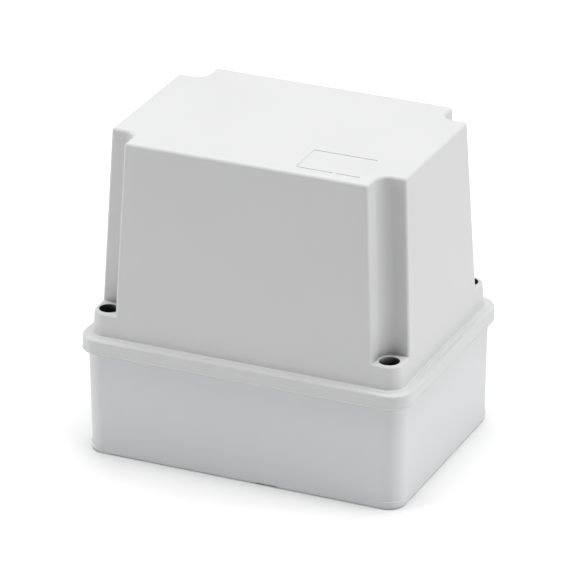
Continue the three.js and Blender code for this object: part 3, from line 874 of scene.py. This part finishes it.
def cage_mesh():
    """A clamp cage bent from strip: a rounded frame with a grooved floor and the screw's hole in its top."""
    half_x, top = CAGE_WIDTH / 2, CAGE_BOTTOM + CAGE_HEIGHT
    outer = [(-half_x, CAGE_BOTTOM), (half_x, CAGE_BOTTOM), (half_x, top), (-half_x, top)]
    in_x, low, high = half_x - CAGE_SIDE, CAGE_BOTTOM + CAGE_GAUGE, top - CAGE_GAUGE
    window = [(-in_x, low), (in_x, low), (in_x, high), (-in_x, high)]
    half_y = CAGE_LENGTH / 2
    cage = prism("clamp_cage", filleted(outer, 0.9, 4), -half_y, half_y, "y")
    tools = [prism("window", filleted(window, 0.5, 3), -half_y - 1, half_y + 1, "y")]
    tools.append(turned("hole", [(CLAMP_SHANK + GAP, high - 1), (CLAMP_SHANK + GAP, top + 1)], steps=32))
    for k in (-1, 0, 1):
        groove = [(1.5 * k - 0.3, low + 0.1), (1.5 * k, low - 0.25), (1.5 * k + 0.3, low + 0.1)]
        tools.append(prism("groove", groove, -in_x + 0.4, in_x - 0.4))
    return moved(bevelled(clean(carve(cage, tools)), 0.1, 2, 50), CLAMP_X)


def clamp_screw_mesh():
    """A slotted, threaded clamp screw."""
    tip = BAR_BOTTOM + BAR_THICKNESS + GAP
    top = CLAMP_HEAD_BOTTOM + CLAMP_HEAD_HEIGHT
    threaded = levels(tip + 0.4, CLAMP_HEAD_BOTTOM - 0.4, CLAMP_PITCH / 6)
    profile = [(0.9 * CLAMP_SHANK, tip), (CLAMP_SHANK, tip + 0.2)]
    profile += [(CLAMP_SHANK, z) for z in threaded]
    profile += [(CLAMP_SHANK, CLAMP_HEAD_BOTTOM), (CLAMP_HEAD - 0.15, CLAMP_HEAD_BOTTOM)]
    profile += [(CLAMP_HEAD, CLAMP_HEAD_BOTTOM + 0.15), (CLAMP_HEAD, top - 0.25), (CLAMP_HEAD - 0.25, top)]
    wobble = thread(CLAMP_PITCH, 0.2, threaded[0], threaded[-1])
    piece = turned("clamp_screw", profile, steps=32, wobble=wobble)
    wide = CLAMP_HEAD + 1
    carve(piece, [block((-wide, -CLAMP_SLOT / 2, top - 1), (wide, CLAMP_SLOT / 2, top + 1))])
    return moved(clean(piece), CLAMP_X)


def build_end_plate():
    """The sheet that closes the last terminal's open side, dished on its outer face."""
    face = ROW_RIGHT + END_PLATE
    plate = terminal_slice("terminal_end_plate_sheet", ROW_RIGHT, face)
    dish = [(-16.0, 27.0), (16.0, 27.0), (16.0, 37.0), (13.5, 43.0), (-13.5, 43.0), (-16.0, 37.0)]
    return shade(clean(carve(plate, [prism("dish", filleted(dish, 1.5, 4), face - 0.35, face + 1)])))


def build_end_stop(name, start, outside):
    """A stop that hooks the rail, relieved on its outer face, with a finger groove across its top."""
    feet = [(y, z) for y, z in terminal_outline() if z < STOP_TOP]
    half = feet[: len(feet) // 2] + [(15.0, 30.0), (12.0, STOP_TOP)]
    outline = half + [(-y, z) for y, z in half[::-1]]
    stop = bevelled(prism(name, filleted(outline, 0.8, 4), start, start + END_STOP), 0.35, 2, 60)
    face = start + END_STOP if outside > 0 else start
    dish = filleted([(-11.0, 21.0), (11.0, 21.0), (11.0, 30.0), (-11.0, 30.0)], 1.5, 4)
    carve(stop, [prism("dish", dish, face - 0.8, face + 0.8)])
    middle = start + END_STOP / 2
    groove = [(middle + u, STOP_TOP + 0.5 + v) for u, v in arc((0, 0), 1.6, 2, 4, 10)]
    carve(stop, [prism("finger", groove, -8.0, 8.0, "y")])
    return shade(clean(stop))


def build_marker_strip():
    """A blank white strip, scored into one tag per terminal."""
    bottom = TERMINAL_TOP - GROOVE_DEPTH + GAP
    top = bottom + MARKER_THICKNESS
    start, end = -ROW_RIGHT + GAP, ROW_RIGHT + END_PLATE - GAP
    scores = []
    for k in range(TERMINALS - 1, -1, -1):
        at = (k - (TERMINALS - 1) / 2) * PITCH + PITCH / 2
        scores += [(at + 0.3, top), (at, top - 0.6), (at - 0.3, top)]
    outline = [(start, bottom), (end, bottom), (end, top)] + scores + [(start, top)]
    half = GROOVE_HALF - GAP
    return shade(bevelled(prism("terminal_marker_tags", outline, -half, half, "y"), 0.15, 2, 50))


# ------------------------------------------------------------------ materials
def procedural(name, low, high, scale, roughness, metallic=0.0, grain=(2600.0, 0.12), stretch=(1, 1, 1)):
    """A material whose colour drifts from low to high and whose gloss drifts over the roughness range.
    grain is the scale and strength of its fine relief, and stretch draws the pattern out along an axis."""
    material = bpy.data.materials.new(name)
    material.use_nodes = True
    nodes = material.node_tree.nodes
    links = material.node_tree.links
    shader = nodes["Principled BSDF"]
    shader.inputs["Metallic"].default_value = metallic
    place = nodes.new("ShaderNodeTexCoord")
    mapping = nodes.new("ShaderNodeMapping")
    mapping.inputs["Scale"].default_value = stretch
    links.new(place.outputs["Object"], mapping.inputs["Vector"])
    cloud = nodes.new("ShaderNodeTexNoise")
    cloud.inputs["Scale"].default_value = scale
    cloud.inputs["Detail"].default_value = 4.0
    links.new(mapping.outputs["Vector"], cloud.inputs["Vector"])
    ramp = nodes.new("ShaderNodeValToRGB")
    ramp.color_ramp.elements[0].color = (*low, 1)
    ramp.color_ramp.elements[1].color = (*high, 1)
    links.new(cloud.outputs["Fac"], ramp.inputs["Fac"])
    links.new(ramp.outputs["Color"], shader.inputs["Base Color"])
    gloss = nodes.new("ShaderNodeMapRange")
    gloss.inputs["To Min"].default_value, gloss.inputs["To Max"].default_value = roughness
    links.new(cloud.outputs["Fac"], gloss.inputs["Value"])
    links.new(gloss.outputs["Result"], shader.inputs["Roughness"])
    relief = nodes.new("ShaderNodeTexNoise")
    relief.inputs["Scale"].default_value = grain[0]
    relief.inputs["Detail"].default_value = 2.0
    links.new(mapping.outputs["Vector"], relief.inputs["Vector"])
    bump = nodes.new("ShaderNodeBump")
    bump.inputs["Strength"].default_value = grain[1]
    bump.inputs["Distance"].default_value = 0.00005
    links.new(relief.outputs["Fac"], bump.inputs["Height"])
    links.new(bump.outputs["Normal"], shader.inputs["Normal"])
    return material


def plastic(name, color, roughness=(0.42, 0.52), specular=0.3):
    """Moulded plastic: a faint cloudiness, a fine eroded grain and small shifts in gloss."""
    low = [0.975 * c for c in color]
    high = [min(1.0, 1.015 * c) for c in color]
    material = procedural(name, low, high, 28.0, roughness)
    material.node_tree.nodes["Principled BSDF"].inputs["Specular IOR Level"].default_value = specular
    return material


def metal(name, color, roughness=(0.24, 0.38), stretch=(1, 1, 1)):
    """Turned or drawn metal: soft stains, uneven polish and fine tool marks."""
    low = [0.86 * c for c in color]
    return procedural(name, low, color, 260.0, roughness, 1.0, (5200.0, 0.2), stretch)


def painted_hollow_shade(material, reach, darkest):
    """Painted shade: darkens a material's colour in tight hollows, by how enclosed each point is within reach
    millimetres.
    """
    nodes = material.node_tree.nodes
    links = material.node_tree.links
    shader = nodes["Principled BSDF"]
    color = shader.inputs["Base Color"].links[0].from_socket
    hollow = nodes.new("ShaderNodeAmbientOcclusion")
    hollow.samples = 16
    hollow.only_local = True
    hollow.inputs["Distance"].default_value = MM * reach
    shadow = nodes.new("ShaderNodeMapRange")
    shadow.inputs["From Min"].default_value, shadow.inputs["From Max"].default_value = 0.27, 0.5
    shadow.inputs["To Min"].default_value, shadow.inputs["To Max"].default_value = darkest, 1.0
    # painted shade: the more enclosed a point is, the darker its base colour
    links.new(hollow.outputs["AO"], shadow.inputs["Value"])
    mix = nodes.new("ShaderNodeVectorMath")
    mix.operation = "SCALE"
    links.new(color, mix.inputs[0])
    links.new(shadow.outputs["Result"], mix.inputs["Scale"])
    links.new(mix.outputs["Vector"], shader.inputs["Base Color"])
    return material


def banded(name, green, yellow):
    """Green moulding with a yellow band round its shoulders, as on a protective earth terminal."""
    material = plastic(name, green)
    nodes = material.node_tree.nodes
    links = material.node_tree.links
    shader = nodes["Principled BSDF"]
    color = shader.inputs["Base Color"].links[0].from_socket
    place = nodes.new("ShaderNodeTexCoord")
    split = nodes.new("ShaderNodeSeparateXYZ")
    links.new(place.outputs["Object"], split.inputs["Vector"])
    middle = (TERMINAL_SHOULDER + TERMINAL_FLANK) / 2
    half = (TERMINAL_SHOULDER - TERMINAL_FLANK) / 2
    band = nodes.new("ShaderNodeMath")
    band.operation = "COMPARE"
    band.inputs[1].default_value = MM * middle
    band.inputs[2].default_value = MM * half
    links.new(split.outputs["Z"], band.inputs[0])
    mix = nodes.new("ShaderNodeMix")
    mix.data_type = "RGBA"
    colors = [socket for socket in mix.inputs if socket.type == "RGBA"]
    colors[1].default_value = (*yellow, 1)
    links.new(color, colors[0])
    links.new(band.outputs["Value"], mix.inputs["Factor"])
    links.new([socket for socket in mix.outputs if socket.type == "RGBA"][0], shader.inputs["Base Color"])
    return material


def dress(obj, material):
    obj.data.materials.clear()
    obj.data.materials.append(material)


SHELL_GLOSS = ((0.38, 0.48), 0.22)  # roughness range and specular level of the box's own plastic
FINISHES = {
    # the lid and base plastics carry painted shade in their hollows, near black in the lid's screw wells
    "lid_plastic": painted_hollow_shade(
        plastic("lid_plastic", (0.552, 0.557, 0.554), *SHELL_GLOSS), reach=20.0, darkest=0.03
    ),
    "base_plastic": painted_hollow_shade(
        plastic("base_plastic", (0.580, 0.586, 0.598), *SHELL_GLOSS), reach=12.0, darkest=0.35
    ),
    "seal_rubber": procedural("seal_rubber", (0.018, 0.019, 0.02), (0.034, 0.035, 0.037), 90.0, (0.7, 0.85)),
    "plug_plastic": plastic("plug_plastic", (0.55, 0.57, 0.58), (0.36, 0.46)),
    "stainless_steel": metal("stainless_steel", (0.62, 0.62, 0.63)),
    "zinc_steel": metal("zinc_steel", (0.66, 0.67, 0.66), (0.3, 0.46)),
    "brass": metal("brass", (0.72, 0.53, 0.24)),
    "tinned_copper": metal("tinned_copper", (0.66, 0.62, 0.58), (0.32, 0.5), (1, 0.2, 1)),
    "terminal_grey": plastic("terminal_grey", (0.28, 0.30, 0.32), (0.4, 0.52)),
    "terminal_blue": plastic("terminal_blue", (0.04, 0.17, 0.45), (0.4, 0.52)),
    "marker_white": plastic("marker_white", (0.60, 0.60, 0.575), (0.42, 0.52)),
    "terminal_earth": banded("terminal_earth", (0.06, 0.26, 0.05), (0.72, 0.6, 0.03)),
}


def install(piece, node, body, slot):
    """Gives a finished piece its material and its body, and hides the CAD node that it stands for."""
    dress(piece, FINISHES[slot])
    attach(piece, body)
    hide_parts(node)


# ------------------------------------------------------------------ the pieces
install(build_lid(), "lid", "lid_assembly", "lid_plastic")
install(build_gasket(), "lid_gasket", "lid_assembly", "seal_rubber")
install(build_base(), "base", "base_assembly", "base_plastic")

lid_screw, screw_seal, insert, plug = lid_screw_mesh(), seal_mesh(), insert_mesh(), plug_mesh()
for corner, (sx, sy) in CORNERS.items():
    x, y = sx * SCREW_AT[0], sy * SCREW_AT[1]
    piece = shade(copied(lid_screw, f"fine_lid_screw_{corner}", x, y))
    install(piece, f"lid_screw_{corner}", f"screw_{corner}", "stainless_steel")
    piece = shade(copied(screw_seal, f"fine_screw_seal_{corner}", x, y))
    install(piece, f"screw_seal_{corner}", f"seal_{corner}", "seal_rubber")
    piece = shade(copied(insert, f"fine_threaded_insert_{corner}", x, y))
    install(piece, f"threaded_insert_{corner}", "base_assembly", "brass")
    piece = shade(copied(plug, f"fine_fixing_plug_{corner}", sx * FIXING_AT[0], sy * FIXING_AT[1]))
    install(piece, f"fixing_plug_{corner}", f"plug_{corner}", "plug_plastic")

install(build_rail(), "din_rail", "base_assembly", "zinc_steel")
rail_screw = rail_screw_mesh()
for side, word in ((-1, "left"), (1, "right")):
    piece = shade(copied(rail_screw, f"fine_rail_screw_{word}", side * POST_X))
    install(piece, f"rail_screw_{word}", "base_assembly", "zinc_steel")

housing, bar, cage, clamp_screw = housing_mesh(), bar_mesh(), cage_mesh(), clamp_screw_mesh()
HOUSING_SLOTS = ("terminal_grey",) * 3 + ("terminal_blue", "terminal_earth")
for index, slot in enumerate(HOUSING_SLOTS):
    n = index + 1
    x = (index - (TERMINALS - 1) / 2) * PITCH
    piece = shade(copied(housing, f"fine_terminal_housing_{n}", x))
    install(piece, f"terminal_housing_{n}", "base_assembly", slot)
    piece = shade(copied(bar, f"fine_current_bar_{n}", x))
    install(piece, f"current_bar_{n}", "base_assembly", "tinned_copper")
    for side, word in ((-1, "front"), (1, "back")):
        piece = shade(copied(cage, f"fine_clamp_cage_{n}_{word}", x, side * CLAMP_Y))
        install(piece, f"clamp_cage_{n}_{word}", f"cage_{n}_{word}", "zinc_steel")
        piece = shade(copied(clamp_screw, f"fine_clamp_screw_{n}_{word}", x, side * CLAMP_Y))
        install(piece, f"clamp_screw_{n}_{word}", f"clamp_{n}_{word}", "zinc_steel")

for template in (lid_screw, screw_seal, insert, plug, rail_screw, housing, bar, cage, clamp_screw):
    bpy.data.objects.remove(template)

install(build_end_plate(), "terminal_end_plate", "base_assembly", "terminal_grey")
install(build_marker_strip(), "terminal_marker_strip", "base_assembly", "marker_white")
for side, word, start in ((-1, "left", -ROW_RIGHT - END_STOP), (1, "right", ROW_RIGHT + END_PLATE + GAP)):
    piece = build_end_stop(f"end_stop_{word}_block", start, side)
    install(piece, f"end_stop_{word}", "base_assembly", "terminal_grey")

# ------------------------------------------------------------------ stage, lights and camera
CAMERA_AZIMUTH = 23.92
CAMERA_ELEVATION = 24.55
CAMERA_DISTANCE = 1.8785
CAMERA_TARGET = Vector((-0.0006, -0.0004, 0.0627))
CAMERA_LENS = 300.7
ROOM_LIGHT = 0.06
FLOOR_RADIUS = 1150.0
FLOOR_ALBEDO = 0.80

# name, place, what it points at, width and height, and watts
LIGHTS = (
    ("overhead", (0.0, 0.2, 2.2), (0, 0, 0), (2.0, 2.0), 72),
    ("right", (2.2, 0.5, 0.8), (0, 0, 0.07), (1.4, 1.2), 26),
    ("right_front", (2.0, -0.9, 1.0), (0, 0, 0.07), (1.4, 1.2), 6.3),
    ("left", (-2.2, -0.3, 0.8), (0, 0, 0.07), (1.4, 1.2), 12.4),
    ("left_front", (-1.7, -1.4, 0.8), (0, 0, 0.07), (1.2, 1.2), 16.2),
)


def add_camera():
    camera = bpy.data.objects.new("camera", bpy.data.cameras.new("camera"))
    bpy.context.scene.collection.objects.link(camera)
    azimuth, elevation = math.radians(CAMERA_AZIMUTH), math.radians(CAMERA_ELEVATION)
    back = Vector((
        math.sin(azimuth) * math.cos(elevation),
        -math.cos(azimuth) * math.cos(elevation),
        math.sin(elevation),
    ))
    camera.location = CAMERA_TARGET + CAMERA_DISTANCE * back
    camera.rotation_euler = back.to_track_quat("Z", "Y").to_euler()
    camera.data.lens = CAMERA_LENS
    camera.data.sensor_width = 36
    camera.data.clip_end = 50
    bpy.context.scene.camera = camera


def area_light(name, location, target, size, power):
    light = bpy.data.lights.new(name, "AREA")
    light.shape = "RECTANGLE"
    light.size, light.size_y = size
    light.energy = power
    obj = bpy.data.objects.new(name, light)
    bpy.context.scene.collection.objects.link(obj)
    obj.location = location
    obj.rotation_euler = (Vector(location) - Vector(target)).to_track_quat("Z", "Y").to_euler()


def add_stage():
    """A round pale floor, and a white world that lights the room far less than the camera sees it."""
    steps = 64
    rim = [(2 * math.pi * i / steps) for i in range(steps)]
    vertices = [(FLOOR_RADIUS * math.cos(a), FLOOR_RADIUS * math.sin(a), 0) for a in rim]
    floor = make_object("floor", vertices, [tuple(range(steps))])
    material = bpy.data.materials.new("pale_floor")
    material.use_nodes = True
    shader = material.node_tree.nodes["Principled BSDF"]
    shader.inputs["Base Color"].default_value = (FLOOR_ALBEDO, FLOOR_ALBEDO, FLOOR_ALBEDO, 1)
    shader.inputs["Roughness"].default_value = 0.9
    dress(floor, material)
    world = bpy.data.worlds.new("world")
    world.use_nodes = True
    nodes, links = world.node_tree.nodes, world.node_tree.links
    background = nodes["Background"]
    background.inputs["Color"].default_value = (1, 1, 1, 1)
    rays = nodes.new("ShaderNodeLightPath")
    strength = nodes.new("ShaderNodeMapRange")
    strength.inputs["To Min"].default_value, strength.inputs["To Max"].default_value = ROOM_LIGHT, 1.0
    links.new(rays.outputs["Is Camera Ray"], strength.inputs["Value"])
    links.new(strength.outputs["Result"], background.inputs["Strength"])
    bpy.context.scene.world = world
    bpy.context.scene.view_settings.view_transform = "Standard"


add_camera()
add_stage()
for lamp in LIGHTS:
    area_light(*lamp)
